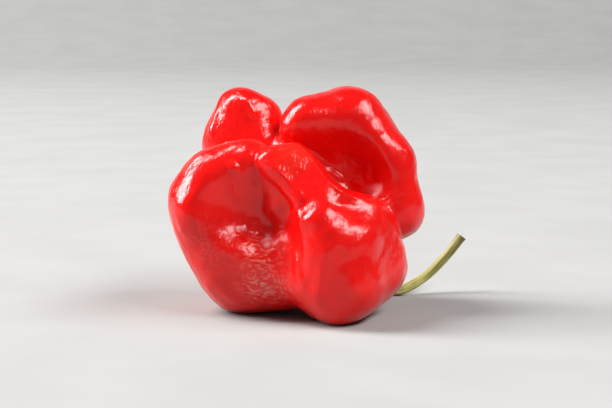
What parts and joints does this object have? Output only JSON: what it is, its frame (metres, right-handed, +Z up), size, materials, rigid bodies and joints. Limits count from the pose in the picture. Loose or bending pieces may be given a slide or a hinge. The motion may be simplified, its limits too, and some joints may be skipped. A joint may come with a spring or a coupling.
{
  "type": "chili pepper",
  "caption": "Ripe red lobed chili pepper of the habanero type, with swollen dimpled lobes, glossy skin and a curved green stem on its calyx, lying at rest.",
  "frame": {"origin": "middle of the pepper's underside, where it lies on a flat surface", "axes": "+Z up; +X towards the side where the stem's cut end sticks out; -Y towards the side where the blossom end and the front lobe show"},
  "size_m": [0.0572, 0.041, 0.0417],
  "materials": {
    "skin": "waxy gloss, ripe red",
    "stem": "dull olive green with fine lengthwise ribs"
  },
  "bodies": {
    "root": {"fruit": "skin", "stem": "stem"}
  },
  "joints": []
}
